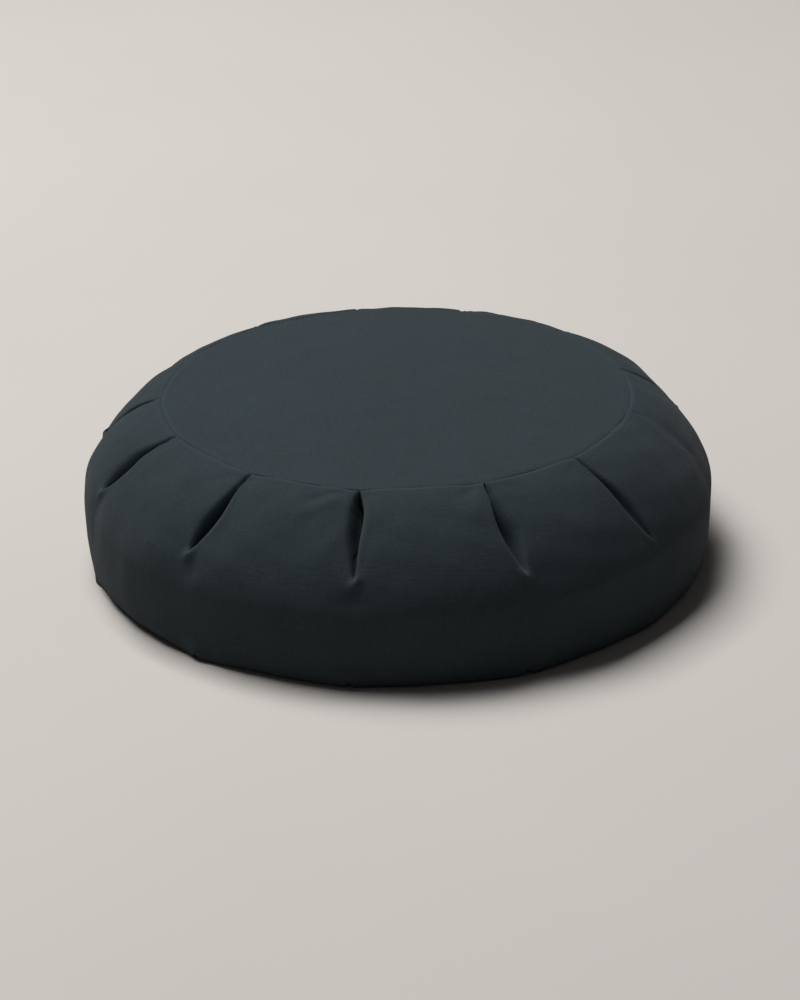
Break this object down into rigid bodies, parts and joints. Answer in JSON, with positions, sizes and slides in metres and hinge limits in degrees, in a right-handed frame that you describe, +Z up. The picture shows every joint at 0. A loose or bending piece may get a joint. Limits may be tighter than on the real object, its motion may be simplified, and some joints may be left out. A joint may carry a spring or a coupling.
{
  "type": "zafu meditation cushion",
  "caption": "Round zafu floor cushion: a flat crowned top, plump sides gathered into pleats at both seams, flat base.",
  "frame": {"origin": "on the floor, under the middle of the base panel", "axes": "+Z up through the middle of the top panel, -Y towards the front, +X to the right"},
  "size_m": [0.4095, 0.4068, 0.1195],
  "materials": {
    "slate_cotton": "matt, closely woven plain cotton canvas"
  },
  "bodies": {
    "root": {"side_band": "slate_cotton", "top_panel": "slate_cotton", "base_panel": "slate_cotton"}
  },
  "joints": []
}
